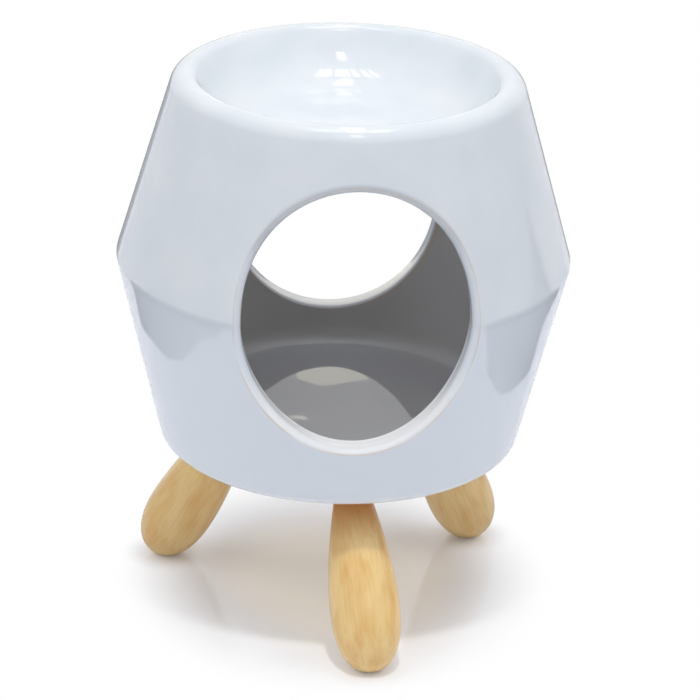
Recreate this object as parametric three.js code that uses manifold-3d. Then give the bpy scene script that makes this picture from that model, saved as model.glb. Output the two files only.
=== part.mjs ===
// Oil burner: a glazed double-cone body with a dish in its top and an oval opening
// through its front and back, standing on three splayed, turned wooden legs.
// Millimetres, +Z up. The front opening faces -Y. The pieces are made about the body's
// axis, and the whole then stands with its origin at table level, under the middle of
// the space that it takes up.

import * as THREE from 'three';
import { mergeVertices } from 'three/addons/utils/BufferGeometryUtils.js';
import Module from 'manifold-3d';

// Heights of the body, from the table up
const groundClearance = 38.5;
const lowerConeHeight = 44;
const upperConeHeight = 42;

// Outer radii, measured where the straight sides would meet
const baseRadius = 40.1;
const ringRadius = 50.6;
const rimRadius = 38.23;

// Walls
const wallThickness = 5.6;
const baseThickness = 7.4;
const dishThickness = 4.6;
const rimWidth = 4.4;

// Dish
const dishDepth = 11.4;
const dishWallLean = THREE.MathUtils.degToRad(30);

// Rounded edges of the outside
const baseFillet = 3.5;
const ringFillet = 3;
const rimOuterFillet = 3.9;
const rimInnerFillet = 2.4;
const dishFillet = 14;

// Rounded edges of the chamber
const chamberFloorFillet = 5;
const chamberRingFillet = 8;
const shoulderFillet = 1.8;
const ceilingFillet = 5.5;

// Oval openings, front and back
const openingWidth = 49.1;
const openingHeight = 57.8;
const openingRaise = 0.25;
const lipFillet = 1.6;
const innerLipFillet = 0.8;

// Legs, placed where their axes pass the underside
const legCircleRadius = 23.5;
const firstLegTurn = THREE.MathUtils.degToRad(2.4);
const legTilt = THREE.MathUtils.degToRad(28.9);
const legSkew = THREE.MathUtils.degToRad(4.9);
const legNames = ['leg_front', 'leg_right', 'leg_left'];

// Turned outline of a leg
const neckRadius = 3.5;
const bulbRadius = 7.8;
const bulbDistance = 30.2;
const footRoundness = 2.27;
const footFlatDepth = 0.4;

// Tenon at a leg's top and its socket in the base
const tenonLength = 4.8;
const tenonChamfer = 0.5;
const socketClearance = 0.3;

// Fineness of the facets
const bodySegments = 64;
const arcStep = THREE.MathUtils.degToRad(15);
const ovalSegments = 60;
const lipSteps = 6;
const innerLipSteps = 4;
const legSegments = 24;
const neckSteps = 8;
const footSteps = 9;

// Planes and slopes that follow from the sizes
const ringHeight = groundClearance + lowerConeHeight;
const totalHeight = ringHeight + upperConeHeight;
const chamberFloor = groundClearance + baseThickness;
const dishFloor = totalHeight - dishDepth;
const chamberCeiling = dishFloor - dishThickness;
const openingCentre = ringHeight + openingRaise;
const lipRingFillet = Math.max(ringFillet - lipFillet, 0);
const lowerLean = Math.atan((ringRadius - baseRadius) / lowerConeHeight);
const upperLean = Math.atan((ringRadius - rimRadius) / upperConeHeight);

const wasm = await Module();
wasm.setup();

// A closed manifold solid from a three.js geometry
function solidOf(geometry) {
  const bare = geometry.clone();
  bare.deleteAttribute('normal');
  bare.deleteAttribute('uv');
  const merged = mergeVertices(bare);
  const corners = merged.index.array;
  const kept = [];
  for (let i = 0; i < corners.length; i += 3) {
    const [a, b, c] = corners.slice(i, i + 3);
    if (a !== b && b !== c && c !== a) kept.push(a, b, c);
  }
  return new wasm.Manifold(new wasm.Mesh({
    numProp: 3,
    vertProperties: new Float32Array(merged.attributes.position.array),
    triVerts: new Uint32Array(kept),
  }));
}

// A three.js geometry from a manifold solid
function geometryOf(solid) {
  const mesh = solid.getMesh();
  const geometry = new THREE.BufferGeometry();
  geometry.setAttribute('position', new THREE.BufferAttribute(mesh.vertProperties, 3));
  geometry.setIndex(new THREE.BufferAttribute(mesh.triVerts, 1));
  geometry.computeVertexNormals();
  return geometry;
}

// Outline through corners given as [radius, height, fillet], a fillet of 0 staying sharp
function roundedOutline(corners) {
  const outline = [];
  corners.forEach(([radius, height, fillet], i) => {
    const corner = new THREE.Vector2(radius, height);
    if (fillet === 0) {
      outline.push(corner);
      return;
    }
    const back = new THREE.Vector2(...corners[i - 1]).sub(corner).normalize();
    const ahead = new THREE.Vector2(...corners[i + 1]).sub(corner).normalize();
    const halfAngle = Math.acos(back.dot(ahead)) / 2;
    const middle = back.clone().add(ahead).normalize();
    const centre = corner.clone().addScaledVector(middle, fillet / Math.sin(halfAngle));
    const start = corner.clone().addScaledVector(back, fillet / Math.tan(halfAngle));
    const sweep = (Math.PI - 2 * halfAngle) * Math.sign(ahead.cross(back));
    const steps = Math.ceil(Math.abs(sweep) / arcStep);
    for (let k = 0; k <= steps; k++) {
      outline.push(start.clone().rotateAround(centre, sweep * k / steps));
    }
  });
  return outline;
}

// An outline turned about the Z axis
function turned(outline, segments) {
  return new THREE.LatheGeometry(outline, segments).rotateX(Math.PI / 2);
}

// The ring edge of the surface that lies `inset` inside the outside, rounded to `fillet`:
// the height of the arc's centre, and of its two ends
function ringArc(inset, fillet) {
  const widthGap = 1 / Math.cos(upperLean) - 1 / Math.cos(lowerLean);
  const drop = (fillet + inset) * widthGap / (Math.tan(upperLean) + Math.tan(lowerLean));
  const centre = ringHeight - drop;
  const top = centre + fillet * Math.sin(upperLean);
  const bottom = centre - fillet * Math.sin(lowerLean);
  return { centre, top, bottom };
}

// Radius of its straight sides at a height, above the ring and below it
function upperSide(height, inset) {
  return ringRadius - (height - ringHeight) * Math.tan(upperLean) - inset / Math.cos(upperLean);
}

function lowerSide(height, inset) {
  return ringRadius - (ringHeight - height) * Math.tan(lowerLean) - inset / Math.cos(lowerLean);
}

// Radius and slope of the whole surface at a height
function wallAt(height, inset, fillet) {
  const arc = ringArc(inset, fillet);
  if (height >= arc.top) return { radius: upperSide(height, inset), lean: upperLean };
  if (height <= arc.bottom) return { radius: lowerSide(height, inset), lean: -lowerLean };
  const rise = height - arc.centre;
  const centreRadius = upperSide(arc.centre, inset + fillet);
  return { radius: centreRadius + Math.sqrt(fillet ** 2 - rise ** 2), lean: Math.asin(rise / fillet) };
}

// Outside of the body, from the middle of the underside over the rim to the dish's middle
function bodyOutline() {
  const rimInnerRadius = rimRadius - rimWidth;
  return roundedOutline([
    [0, groundClearance, 0],
    [baseRadius, groundClearance, baseFillet],
    [ringRadius, ringHeight, ringFillet],
    [rimRadius, totalHeight, rimOuterFillet],
    [rimInnerRadius, totalHeight, rimInnerFillet],
    [rimInnerRadius - dishDepth * Math.tan(dishWallLean), dishFloor, dishFillet],
    [0, dishFloor, 0],
  ]);
}

// Chamber, from the middle of its floor up the wall, into the narrow shoulder between
// the wall and the dish, and back along the dish's underside
function chamberOutline() {
  const inset = wallThickness;
  const ringEdge = ringArc(inset, 0).centre;
  const dishSideRadius = rimRadius - rimWidth + dishThickness / Math.cos(dishWallLean);
  const wallTopRadius = upperSide(totalHeight, inset);
  const shoulderDrop = (dishSideRadius - wallTopRadius) / (Math.tan(dishWallLean) + Math.tan(upperLean));
  const ceilingDrop = totalHeight - chamberCeiling;
  return roundedOutline([
    [0, chamberFloor, 0],
    [lowerSide(chamberFloor, inset), chamberFloor, chamberFloorFillet],
    [lowerSide(ringEdge, inset), ringEdge, chamberRingFillet],
    [wallTopRadius + shoulderDrop * Math.tan(upperLean), totalHeight - shoulderDrop, shoulderFillet],
    [dishSideRadius - ceilingDrop * Math.tan(dishWallLean), chamberCeiling, ceilingFillet],
    [0, chamberCeiling, 0],
  ]);
}

// Where a ball of the lip's radius rests inside the wall and beside the opening: its
// centre, and the direction from there to the wall's surface
function lipBall(edge, sideways, radius, inset, fillet) {
  const centre = edge.clone().addScaledVector(sideways, radius);
  const wall = wallAt(centre.z, inset, fillet);
  centre.y = -Math.sqrt(wall.radius ** 2 - centre.x ** 2);
  const outwards = new THREE.Vector3(centre.x, centre.y, wall.radius * Math.tan(wall.lean)).normalize();
  return { centre, outwards };
}

// Points on a ball, `steps` steps from one direction to another
function ballArc(centre, radius, from, to, steps) {
  const span = from.angleTo(to);
  const points = [];
  for (let k = 0; k <= steps; k++) {
    const direction = from.clone().multiplyScalar(Math.sin(span * (1 - k / steps)) / Math.sin(span));
    direction.addScaledVector(to, Math.sin(span * k / steps) / Math.sin(span));
    points.push(centre.clone().addScaledVector(direction, radius));
  }
  return points;
}

// A closed skin over rings of points of equal count, closed by a middle point at each end
function ringSkin(rings, firstMiddle, lastMiddle) {
  const count = rings[0].length;
  const points = [firstMiddle, ...rings.flat(), lastMiddle];
  const last = points.length - 1;
  const faces = [];
  for (let i = 0; i < count; i++) {
    const next = (i + 1) % count;
    faces.push(0, 1 + i, 1 + next);
    for (let ring = 0; ring < rings.length - 1; ring++) {
      const a = 1 + ring * count + i;
      const b = 1 + ring * count + next;
      faces.push(a, a + count, b, b, a + count, b + count);
    }
    faces.push(last, last - count + next, last - count + i);
  }
  return new THREE.BufferGeometry().setFromPoints(points).setIndex(faces);
}

// Angles round the oval at which its lip is worked out: even steps, and on each side
// the places where the lip crosses the ring edge
function ovalTurns() {
  const step = 2 * Math.PI / ovalSegments;
  const arc = ringArc(lipFillet, lipRingFillet);
  const lipHeight = openingHeight / 2 + lipFillet * openingWidth / openingHeight;
  const heights = [arc.bottom, arc.centre, arc.top];
  const crossings = heights.map((height) => Math.asin((height - openingCentre) / lipHeight));
  const sharp = crossings.flatMap((turn) => [turn, Math.PI - turn]);
  const turns = [...sharp];
  for (let i = 0; i < ovalSegments; i++) {
    const turn = i * step - Math.PI / 2;
    if (sharp.every((other) => Math.abs(turn - other) > step / 2)) turns.push(turn);
  }
  return turns.sort((a, b) => a - b);
}

// What is cut from the front wall: an oval tunnel whose two mouths flare in arcs that
// touch both the tunnel and the wall, which leaves the opening with rounded lips
function frontOpening() {
  const overshoot = 6;
  const innerOvershoot = 1.2;
  const ribs = ovalTurns().map((turn) => {
    const across = openingWidth / 2 * Math.cos(turn);
    const up = openingHeight / 2 * Math.sin(turn);
    const edge = new THREE.Vector3(across, 0, openingCentre + up);
    const sideways = new THREE.Vector3(across / openingWidth ** 2, 0, up / openingHeight ** 2).normalize();
    const tunnelwards = sideways.clone().negate();
    const outer = lipBall(edge, sideways, lipFillet, lipFillet, lipRingFillet);
    const inner = lipBall(edge, sideways, innerLipFillet, wallThickness - innerLipFillet,
      chamberRingFillet + innerLipFillet);
    const inwards = inner.outwards.clone().negate();
    return [
      outer.centre.clone().addScaledVector(outer.outwards, lipFillet + overshoot),
      ...ballArc(outer.centre, lipFillet, outer.outwards, tunnelwards, lipSteps),
      ...ballArc(inner.centre, innerLipFillet, tunnelwards, inwards, innerLipSteps),
      inner.centre.clone().addScaledVector(inwards, innerLipFillet + innerOvershoot),
    ];
  });
  const rings = ribs[0].map((_, step) => ribs.map((rib) => rib[step]));
  const innermost = Math.max(...rings.at(-1).map((point) => point.y));
  const outside = new THREE.Vector3(0, -ringRadius - overshoot, openingCentre);
  const inside = new THREE.Vector3(0, innermost, openingCentre);
  return solidOf(ringSkin(rings, outside, inside));
}

// Direction of a leg's axis, from the foot to the neck, its slant from upright, and where
// it passes the underside, for a leg that stands over +X
const legRise = Math.sqrt(1 - Math.sin(legTilt) ** 2 - Math.sin(legSkew) ** 2);
const legUp = new THREE.Vector3(-Math.sin(legTilt), -Math.sin(legSkew), legRise);
const legSlant = Math.acos(legRise);
const legTop = new THREE.Vector3(legCircleRadius, 0, groundClearance);
const legPlacement = new THREE.Matrix4().compose(
  legTop,
  new THREE.Quaternion().setFromUnitVectors(new THREE.Vector3(0, 0, 1), legUp),
  new THREE.Vector3(1, 1, 1),
);

// Half outline of a leg about its own axis, from the foot's end up to the tenon's top,
// with height 0 where the axis passes the underside
function legOutline() {
  // The foot is as long as it must be for the slanted bulb to reach the table
  const power = footRoundness / (footRoundness - 1);
  const widestHeight = groundClearance - bulbDistance * Math.cos(legSlant);
  const reach = (widestHeight + footFlatDepth) ** power - (bulbRadius * Math.sin(legSlant)) ** power;
  const footLength = reach ** (1 / power) / Math.cos(legSlant);
  const neckEnd = neckRadius * Math.tan(legSlant) + socketClearance;
  const outline = [];
  for (let k = 0; k <= footSteps; k++) {
    const share = Math.cos(Math.PI / 2 * k / footSteps);
    const radius = bulbRadius * (1 - share ** footRoundness) ** (1 / footRoundness);
    outline.push(new THREE.Vector2(radius, -bulbDistance - footLength * share));
  }
  for (let k = neckSteps - 1; k >= 0; k--) {
    const share = k / neckSteps;
    const radius = neckRadius + (bulbRadius - neckRadius) * Math.sin(Math.PI / 2 * share);
    outline.push(new THREE.Vector2(radius, -neckEnd - (bulbDistance - neckEnd) * share));
  }
  outline.push(new THREE.Vector2(neckRadius, tenonLength - tenonChamfer));
  outline.push(new THREE.Vector2(neckRadius - tenonChamfer, tenonLength));
  outline.push(new THREE.Vector2(0, tenonLength));
  return outline;
}

// A leg over +X, its foot sanded flat at table level
function legGeometry() {
  const leg = solidOf(turned(legOutline(), legSegments).applyMatrix4(legPlacement));
  const tableSize = 2 * (groundClearance + ringRadius);
  const table = new THREE.BoxGeometry(tableSize, tableSize, tableSize).translate(0, 0, -tableSize / 2);
  return geometryOf(leg.subtract(solidOf(table)));
}

// The blind hole that a leg over +X stands in
function socket() {
  const radius = neckRadius + socketClearance;
  const top = tenonLength + socketClearance;
  const mouth = -radius * Math.tan(legSlant) - socketClearance;
  const hole = new THREE.CylinderGeometry(radius, radius, top - mouth, legSegments);
  hole.rotateX(Math.PI / 2).translate(0, 0, (top + mouth) / 2).applyMatrix4(legPlacement);
  return hole;
}

const legAzimuths = legNames.map((_, i) => -Math.PI / 2 + firstLegTurn + 2 * Math.PI * i / legNames.length);

// Body: the turned outside, less the chamber, the two openings and the legs' sockets
function bodyGeometry() {
  let body = solidOf(turned(bodyOutline(), bodySegments));
  body = body.subtract(solidOf(turned(chamberOutline(), bodySegments)));
  const front = frontOpening();
  body = body.subtract(front).subtract(front.rotate([0, 0, 180]));
  for (const azimuth of legAzimuths) {
    body = body.subtract(solidOf(socket().rotateZ(azimuth)));
  }
  return geometryOf(body);
}

const glaze = new THREE.MeshStandardMaterial({ color: 0xe4e8ec, roughness: 0.12, metalness: 0 });
const lacqueredWood = new THREE.MeshStandardMaterial({ color: 0xd9b679, roughness: 0.42, metalness: 0 });

const burner = new THREE.Group();

const body = new THREE.Mesh(bodyGeometry(), glaze);
body.name = 'burner_body';
burner.add(body);

legAzimuths.forEach((azimuth, i) => {
  const leg = new THREE.Mesh(legGeometry(), lacqueredWood.clone());
  leg.name = legNames[i];
  leg.rotation.z = azimuth;
  burner.add(leg);
});

const space = new THREE.Box3().setFromObject(burner, true).getCenter(new THREE.Vector3());
burner.position.set(-space.x, -space.y, 0);

export default burner;
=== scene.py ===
import math

import bpy
from mathutils import Matrix, Quaternion, Vector
from mathutils.bvhtree import BVHTree
from mathutils.interpolate import poly_3d_calc
from mathutils.kdtree import KDTree


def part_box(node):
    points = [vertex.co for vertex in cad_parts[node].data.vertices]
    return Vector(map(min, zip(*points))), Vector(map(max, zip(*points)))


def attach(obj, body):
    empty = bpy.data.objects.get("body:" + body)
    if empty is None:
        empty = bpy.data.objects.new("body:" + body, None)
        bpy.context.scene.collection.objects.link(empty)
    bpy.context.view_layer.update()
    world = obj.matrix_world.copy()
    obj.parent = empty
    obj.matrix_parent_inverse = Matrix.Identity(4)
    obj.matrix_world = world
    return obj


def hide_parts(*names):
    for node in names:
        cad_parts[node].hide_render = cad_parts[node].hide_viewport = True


# Oil burner: a glazed double-cone body and three turned, lacquered legs, dressed over the
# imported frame. Sizes are in millimetres and become metres where a mesh is made.
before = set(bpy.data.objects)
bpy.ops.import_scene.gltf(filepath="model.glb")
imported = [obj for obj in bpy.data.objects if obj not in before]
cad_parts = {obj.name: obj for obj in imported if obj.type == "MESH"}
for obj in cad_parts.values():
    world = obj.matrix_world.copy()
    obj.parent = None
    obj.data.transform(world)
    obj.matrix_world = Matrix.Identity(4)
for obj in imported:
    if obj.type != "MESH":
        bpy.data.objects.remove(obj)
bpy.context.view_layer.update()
mm = 0.001

bodyLow, bodyHigh = (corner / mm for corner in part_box("burner_body"))
underside = bodyLow.z
top = bodyHigh.z
bodyAxis = Vector((0, (bodyLow.y + bodyHigh.y) / 2, 0))
print("frame loaded, body", round(underside, 2), "to", round(top, 2), "mm")


# A colour written as an sRGB hex value, in linear light
def linearColour(hexValue, alpha=1.0):
    channels = [(hexValue >> shift & 255) / 255 for shift in (16, 8, 0)]
    linear = [c / 12.92 if c <= 0.04045 else ((c + 0.055) / 1.055) ** 2.4 for c in channels]
    return (*linear, alpha)


# Adds a node, sets its properties, and links or fills its inputs. A Mix node's inputs 2 and
# 3 are its numbers, 6 and 7 its colours.
def addNode(tree, kind, inputs=None, **settings):
    node = tree.nodes.new(kind)
    for name, value in settings.items():
        setattr(node, name, value)
    for key, value in (inputs or {}).items():
        if isinstance(value, bpy.types.NodeSocket):
            tree.links.new(value, node.inputs[key])
        else:
            node.inputs[key].default_value = value
    return node


# A new material, with its tree and its shader
def newMaterial(name):
    material = bpy.data.materials.new(name)
    material.use_nodes = True
    tree = material.node_tree
    return material, tree, tree.nodes["Principled BSDF"]


def addObject(name, data):
    holder = bpy.data.objects.new(name, data)
    bpy.context.scene.collection.objects.link(holder)
    return holder


# The body's sizes, the same as the frame's: heights from the underside up, radii where
# the straight sides would meet, then the fillets of the corners. Angles are in degrees.
bodySizes = {
    "ringRise": 44.0,
    "baseRadius": 40.1,
    "ringRadius": 50.6,
    "rimRadius": 38.23,
    "wall": 5.6,
    "base": 7.4,
    "dishWall": 4.6,
    "rimWidth": 4.4,
    "dishDepth": 11.4,
    "dishLean": 30.0,
    "baseFillet": 3.5,
    "ringFillet": 3.0,
    "rimOuterFillet": 3.9,
    "rimInnerFillet": 2.4,
    "dishFillet": 14.0,
    "floorFillet": 5.0,
    "chamberRingFillet": 8.0,
    "shoulderFillet": 1.8,
    "ceilingFillet": 5.5,
    "openingWidth": 49.1,
    "openingHeight": 57.8,
    "openingRaise": 0.25,
    "lipFillet": 1.6,
    "lipArris": 21.0,
    "innerLipFillet": 0.8,
    "overshoot": 6.0,
    "innerOvershoot": 1.2,
    "turnSteps": 368,
    "arcStep": 5.0,
    "wallStep": 3.2,
    "ovalSteps": 420,
    "lipSteps": 14,
    "innerLipSteps": 8,
}
b = bodySizes
ring = underside + b["ringRise"]
chamberFloor = underside + b["base"]
dishFloor = top - b["dishDepth"]
chamberCeiling = dishFloor - b["dishWall"]
lowerLean = math.atan((b["ringRadius"] - b["baseRadius"]) / b["ringRise"])
upperLean = math.atan((b["ringRadius"] - b["rimRadius"]) / (top - ring))
dishLean = math.radians(b["dishLean"])


# Corners given as (radius, height, fillet) become an outline with round corners
def roundedOutline(corners):
    outline = []
    for i, (radius, height, fillet) in enumerate(corners):
        corner = Vector((radius, height))
        if fillet == 0:
            outline.append(corner)
            continue
        back = (Vector(corners[i - 1][:2]) - corner).normalized()
        ahead = (Vector(corners[i + 1][:2]) - corner).normalized()
        halfAngle = math.acos(back.dot(ahead)) / 2
        centre = corner + (back + ahead).normalized() * fillet / math.sin(halfAngle)
        start = corner + back * fillet / math.tan(halfAngle) - centre
        side = math.copysign(1, ahead.x * back.y - ahead.y * back.x)
        sweep = (math.pi - 2 * halfAngle) * side
        steps = math.ceil(abs(sweep) / math.radians(b["arcStep"]))
        for k in range(steps + 1):
            outline.append(centre + Matrix.Rotation(sweep * k / steps, 2) @ start)
    return outline


# Splits the long straight stretches, so that no face is much longer than wallStep
def subdivided(outline):
    finer = [outline[0]]
    for start, end in zip(outline, outline[1:]):
        parts = math.ceil((end - start).length / b["wallStep"])
        finer += [start.lerp(end, k / parts) for k in range(1, parts + 1)]
    return finer


def newMesh(name, points, faces):
    mesh = bpy.data.meshes.new(name)
    mesh.from_pydata([Vector(p) * mm for p in points], [], faces)
    mesh.update()
    mesh.shade_smooth()
    return mesh


# Turns an outline that starts and ends on the axis; an outline that rises first faces out
def turnedMesh(name, outline):
    steps = b["turnSteps"]
    rings = outline[1:-1]
    points = [bodyAxis + Vector((0, 0, outline[0].y))]
    for place in rings:
        for i in range(steps):
            angle = 2 * math.pi * i / steps
            out = Vector((math.cos(angle), math.sin(angle), 0))
            points.append(bodyAxis + out * place.x + Vector((0, 0, place.y)))
    points.append(bodyAxis + Vector((0, 0, outline[-1].y)))
    last = len(points) - 1
    faces = []
    for i in range(steps):
        j = (i + 1) % steps
        faces.append((0, 1 + j, 1 + i))
        for k in range(len(rings) - 1):
            low, high = 1 + k * steps, 1 + (k + 1) * steps
            faces.append((low + i, low + j, high + j, high + i))
        faces.append((last - steps + i, last - steps + j, last))
    return newMesh(name, points, faces)


def upperSide(height, inset):
    return b["ringRadius"] - (height - ring) * math.tan(upperLean) - inset / math.cos(upperLean)


def lowerSide(height, inset):
    return b["ringRadius"] - (ring - height) * math.tan(lowerLean) - inset / math.cos(lowerLean)


# Height of the centre of the ring's round edge, on the surface that lies `inset` inside
def ringCentre(inset, fillet):
    widthGap = 1 / math.cos(upperLean) - 1 / math.cos(lowerLean)
    return ring - (fillet + inset) * widthGap / (math.tan(upperLean) + math.tan(lowerLean))


# Radius and lean of that surface at a height
def wallAt(height, inset, fillet):
    centre = ringCentre(inset, fillet)
    if height >= centre + fillet * math.sin(upperLean):
        return upperSide(height, inset), upperLean
    if height <= centre - fillet * math.sin(lowerLean):
        return lowerSide(height, inset), -lowerLean
    rise = height - centre
    radius = upperSide(centre, inset + fillet) + math.sqrt(fillet ** 2 - rise ** 2)
    return radius, math.asin(rise / fillet)


def bodyOutline():
    rimInner = b["rimRadius"] - b["rimWidth"]
    return roundedOutline([
        (0, underside, 0),
        (b["baseRadius"], underside, b["baseFillet"]),
        (b["ringRadius"], ring, b["ringFillet"]),
        (b["rimRadius"], top, b["rimOuterFillet"]),
        (rimInner, top, b["rimInnerFillet"]),
        (rimInner - b["dishDepth"] * math.tan(dishLean), dishFloor, b["dishFillet"]),
        (0, dishFloor, 0),
    ])


def chamberOutline():
    inset = b["wall"]
    ringEdge = ringCentre(inset, 0)
    dishSide = b["rimRadius"] - b["rimWidth"] + b["dishWall"] / math.cos(dishLean)
    wallTop = upperSide(top, inset)
    drop = (dishSide - wallTop) / (math.tan(dishLean) + math.tan(upperLean))
    ceilingEdge = dishSide - (top - chamberCeiling) * math.tan(dishLean)
    return roundedOutline([
        (0, chamberFloor, 0),
        (lowerSide(chamberFloor, inset), chamberFloor, b["floorFillet"]),
        (lowerSide(ringEdge, inset), ringEdge, b["chamberRingFillet"]),
        (wallTop + drop * math.tan(upperLean), top - drop, b["shoulderFillet"]),
        (ceilingEdge, chamberCeiling, b["ceilingFillet"]),
        (0, chamberCeiling, 0),
    ])


# Where a ball of the lip's radius rests in the wall beside the opening, and which way
# the wall's surface lies from its centre
def lipBall(edge, sideways, radius, inset, fillet):
    centre = edge + sideways * radius
    wallRadius, lean = wallAt(centre.z, inset, fillet)
    centre.y = -math.sqrt(wallRadius ** 2 - centre.x ** 2)
    outwards = Vector((centre.x, centre.y, wallRadius * math.tan(lean))).normalized()
    return centre, outwards


def ballArc(centre, radius, start, end, steps):
    return [centre + radius * start.slerp(end, k / steps) for k in range(steps + 1)]


# The lip of the front opening: for each step round the oval, the ball's centre, the ways
# out to the wall and away from the opening, and the points across the cut. The wall breaks
# into the lip's round at a blunt arris, not in a tangent.
def lipRibs():
    lip, inner = b["lipFillet"], b["innerLipFillet"]
    arris = math.radians(b["lipArris"])
    depth = lip * math.cos(arris)
    centreHeight = ring + b["openingRaise"]
    ribs = []
    for i in range(b["ovalSteps"]):
        turn = 2 * math.pi * i / b["ovalSteps"]
        across = b["openingWidth"] / 2 * math.cos(turn)
        up = b["openingHeight"] / 2 * math.sin(turn)
        edge = Vector((across, 0, centreHeight + up))
        sideways = Vector((across / b["openingWidth"] ** 2, 0, up / b["openingHeight"] ** 2)).normalized()
        centre, outwards = lipBall(edge, sideways, lip, depth, max(b["ringFillet"] - depth, 0))
        start = outwards.slerp(-sideways, arris / outwards.angle(-sideways))
        innerFillet = b["chamberRingFillet"] + inner
        innerCentre, innerOut = lipBall(edge, sideways, inner, b["wall"] - inner, innerFillet)
        points = [centre + start * lip + outwards * b["overshoot"]]
        points += ballArc(centre, lip, start, -sideways, b["lipSteps"])
        points += ballArc(innerCentre, inner, -sideways, -innerOut, b["innerLipSteps"])
        points.append(innerCentre - innerOut * (inner + b["innerOvershoot"]))
        ribs.append((centre, outwards, sideways, points))
    return ribs


# The solid that is cut from the front wall, or turned half round, from the rear wall
def openingCutter(name, ribs, half):
    count = len(ribs[0][3])
    reach = b["ringRadius"] + b["overshoot"]
    middle = sum((points[-1] for _, _, _, points in ribs), Vector()) / len(ribs)
    points = [Vector((0, -reach, ring)), *(p for rib in ribs for p in rib[3]), middle]
    turn = Matrix.Rotation(half, 3, "Z")
    points = [bodyAxis + turn @ p for p in points]
    last = len(points) - 1
    faces = []
    for i in range(len(ribs)):
        here, there = 1 + i * count, 1 + (i + 1) % len(ribs) * count
        faces.append((0, here, there))
        faces += [(here + k, here + k + 1, there + k + 1, there + k) for k in range(count - 1)]
        faces.append((last, there + count - 1, here + count - 1))
    return newMesh(name, points, faces)


# Legs: placed where their axes pass the underside, leaning out and a little sideways
legSizes = {
    "circleRadius": 23.5,
    "firstTurn": 2.4,
    "tilt": 28.9,
    "skew": 4.9,
    "neckRadius": 3.5,
    "bulbRadius": 7.75,
    "bulbDistance": 30.2,
    "footRoundness": 2.27,
    "footFlatDepth": 0.4,
    "tenonLength": 4.8,
    "tenonChamfer": 0.5,
    "socketClearance": 0.3,
    "rings": 96,
    "sides": 72,
}
g = legSizes
legNames = ("leg_front", "leg_right", "leg_left")
legLean = Vector((-math.sin(math.radians(g["tilt"])), -math.sin(math.radians(g["skew"])), 0))
legUp = legLean + Vector((0, 0, math.sqrt(1 - legLean.length_squared)))
legSlant = legUp.angle(Vector((0, 0, 1)))


# Rotation and foot of the axis of the leg with that number
def legPlace(number):
    azimuth = -math.pi / 2 + math.radians(g["firstTurn"]) + 2 * math.pi * number / len(legNames)
    turn = Quaternion((0, 0, 1), azimuth)
    rotation = turn @ Vector((0, 0, 1)).rotation_difference(legUp)
    place = bodyAxis + turn @ Vector((g["circleRadius"], 0, underside))
    return rotation, place


def socketCutter(name, number):
    rotation, place = legPlace(number)
    radius = g["neckRadius"] + g["socketClearance"]
    low = -radius * math.tan(legSlant) - g["socketClearance"]
    high = g["tenonLength"] + g["socketClearance"]
    sides = g["sides"]
    points = []
    for height in (low, high):
        for i in range(sides):
            angle = 2 * math.pi * i / sides
            spot = Vector((radius * math.cos(angle), radius * math.sin(angle), height))
            points.append(place + rotation @ spot)
    faces = [(i, (i + 1) % sides, sides + (i + 1) % sides, sides + i) for i in range(sides)]
    faces += [tuple(reversed(range(sides))), tuple(range(sides, 2 * sides))]
    return newMesh(name, points, faces)


# Which tool made a face of the body, kept through the cuts as its material index
latheFace, lipFace, socketFace = range(3)


def cutBody(body, cutterMesh, index):
    cutterMesh.polygons.foreach_set("material_index", [index] * len(cutterMesh.polygons))
    cutter = addObject(cutterMesh.name, cutterMesh)
    for mark in body.data.materials:
        cutterMesh.materials.append(mark)
    cut = body.modifiers.new("cut", "BOOLEAN")
    cut.operation = "DIFFERENCE"
    cut.solver = "MANIFOLD"
    cut.object = cutter
    view = bpy.context.evaluated_depsgraph_get()
    result = bpy.data.meshes.new_from_object(body.evaluated_get(view))
    body.modifiers.remove(cut)
    body.data = result
    bpy.data.objects.remove(cutter)


# Smooth shading read from an uncut mesh, so that the cuts' thin faces don't show
def normalSource(mesh):
    points = [v.co.copy() for v in mesh.vertices]
    faces = [tuple(f.vertices) for f in mesh.polygons]
    normals = [n.vector.copy() for n in mesh.vertex_normals]
    finder = BVHTree.FromPolygons(points, faces)

    def normalAt(place):
        nearest, _, index, distance = finder.find_nearest(place)
        corners = faces[index]
        shares = poly_3d_calc([points[c] for c in corners], nearest)
        normal = sum((normals[c] * s for c, s in zip(corners, shares)), Vector())
        return normal.normalized(), distance

    return normalAt


def buildBody():
    outer = turnedMesh("outer", subdivided(bodyOutline()))
    chamber = turnedMesh("chamber", subdivided(chamberOutline()))
    ribs = lipRibs()
    cutters = [openingCutter("opening", ribs, half) for half in (0, math.pi)]
    sources = {
        "outer": normalSource(outer),
        "chamber": normalSource(chamber),
        "lips": [normalSource(cutter) for cutter in cutters],
    }
    for _ in (latheFace, lipFace, socketFace):
        outer.materials.append(None)
    body = addObject("glazedBody", outer)
    cutBody(body, chamber, latheFace)
    for cutter in cutters:
        cutBody(body, cutter, lipFace)
    for number in range(len(legNames)):
        cutBody(body, socketCutter("socket", number), socketFace)
    mesh = body.data
    print("body cut:", len(mesh.vertices), "points,", len(mesh.polygons), "faces")
    onLathe = shadeBody(mesh, sources)
    markLips(mesh, ribs, onLathe)
    return body


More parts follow.
